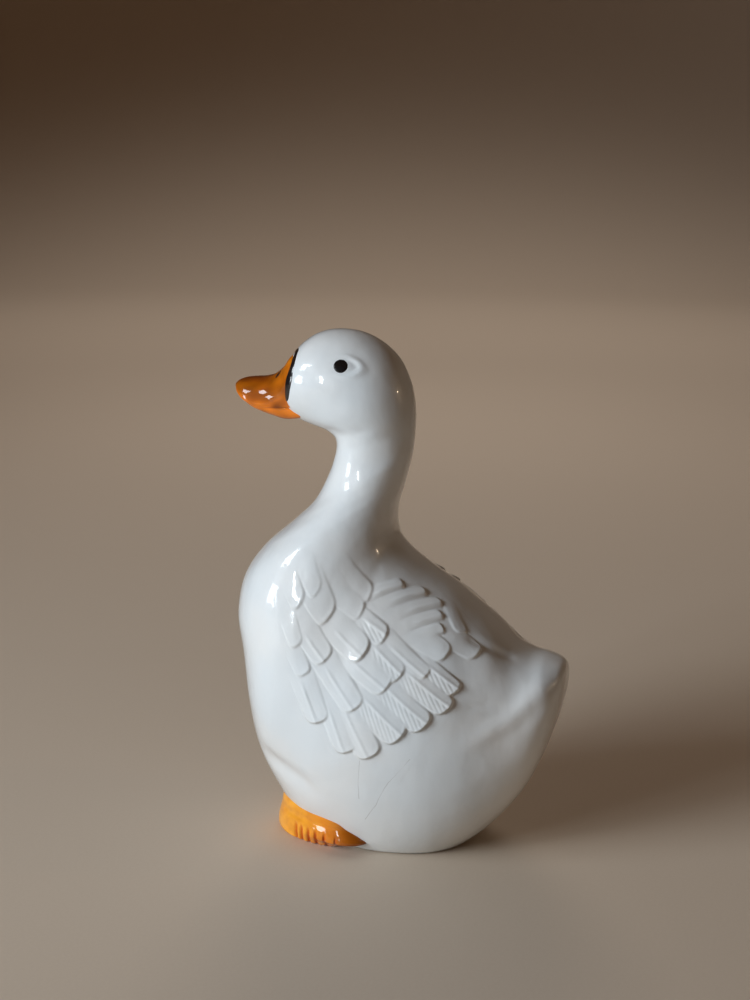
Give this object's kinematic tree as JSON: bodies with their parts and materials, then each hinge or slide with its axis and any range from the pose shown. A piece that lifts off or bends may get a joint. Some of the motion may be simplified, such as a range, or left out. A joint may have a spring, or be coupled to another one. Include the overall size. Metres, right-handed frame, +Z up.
{
  "type": "ceramic goose figurine",
  "caption": "Hollow glazed ceramic goose standing on a flat base, with an orange bill and feet, a black band at the bill, black eyes and wings of raised feathers.",
  "frame": {"origin": "centre of the overall box on the table the goose stands on", "axes": "+Z up, the bill points along -Y, the bird's left side is +X; the plane x = 0 is the plane of symmetry"},
  "size_m": [0.0788, 0.116, 0.1752],
  "materials": {
    "body_glaze": "gloss, slightly blue-white glaze",
    "base_biscuit": "matt unglazed biscuit",
    "wing_glaze": "gloss, slightly blue-white glaze",
    "bill_glaze": "gloss orange glaze",
    "band_glaze": "gloss black glaze",
    "nostril_glaze": "gloss dark brown glaze",
    "eye_glaze": "gloss black glaze",
    "foot_glaze": "gloss orange glaze"
  },
  "bodies": {
    "root": {"body_shell": "body_glaze", "base_disc": "base_biscuit", "left_wing": "wing_glaze", "right_wing": "wing_glaze", "upper_bill": "bill_glaze", "lower_bill": "bill_glaze", "bill_band": "band_glaze", "left_nostril": "nostril_glaze", "right_nostril": "nostril_glaze", "left_eye": "eye_glaze", "right_eye": "eye_glaze", "left_foot": "foot_glaze", "right_foot": "foot_glaze"}
  },
  "joints": []
}
